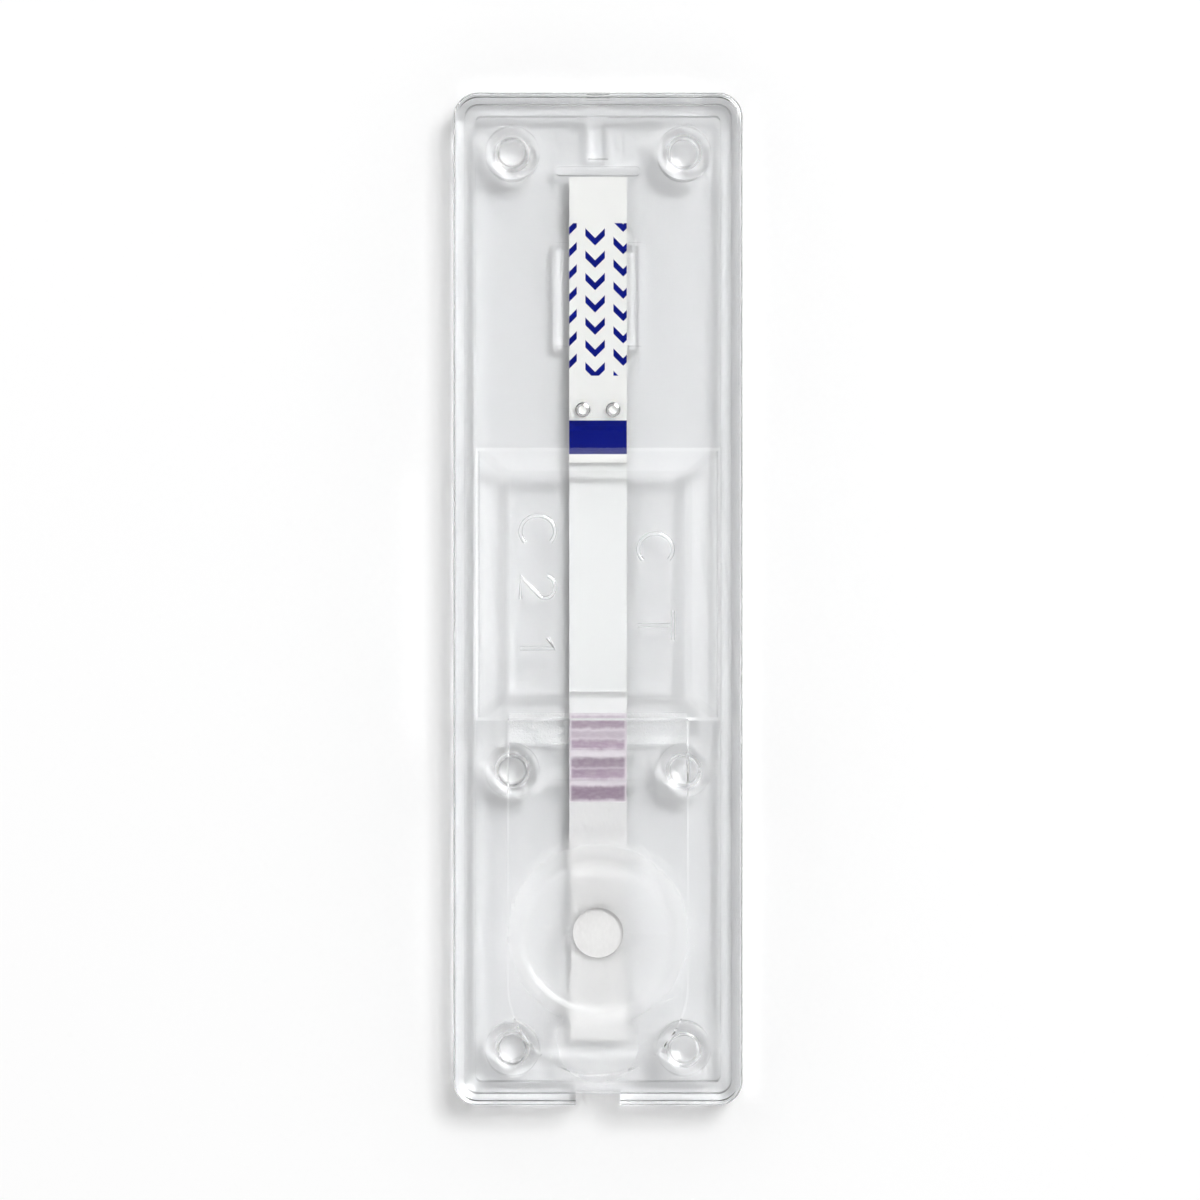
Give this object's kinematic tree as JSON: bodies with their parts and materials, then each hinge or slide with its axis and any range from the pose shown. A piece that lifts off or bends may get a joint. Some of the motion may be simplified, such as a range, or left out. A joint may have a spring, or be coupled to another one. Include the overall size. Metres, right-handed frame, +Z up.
{
  "type": "lateral flow cassette",
  "caption": "Flat clear plastic test cassette with a bevelled read window and a funnel-shaped sample well over a layered paper test strip.",
  "frame": {"origin": "on the table under the middle of the housing's outline", "axes": "+Z up out of the read window, +Y along the strip towards the absorbent end, +X across the strip"},
  "size_m": [0.02, 0.07, 0.005],
  "materials": {
    "clear_lid": "clear moulded polystyrene, glossy",
    "clear_base": "clear moulded polystyrene, glossy",
    "white_card": "white plastic card, satin",
    "white_membrane": "white porous membrane, matte",
    "purple_pad": "glass fibre pad with dried purple bands, matte",
    "white_pad": "white fibre pad, matte",
    "blotting_paper": "thick white blotting paper, matte",
    "printed_tape": "white film tape with navy print, satin"
  },
  "bodies": {
    "root": {"top_housing": "clear_lid", "bottom_housing": "clear_base", "backing_card": "white_card", "reaction_membrane": "white_membrane", "conjugate_pad": "purple_pad", "sample_pad": "white_pad", "absorbent_pad": "blotting_paper", "cover_tape": "printed_tape"}
  },
  "joints": []
}
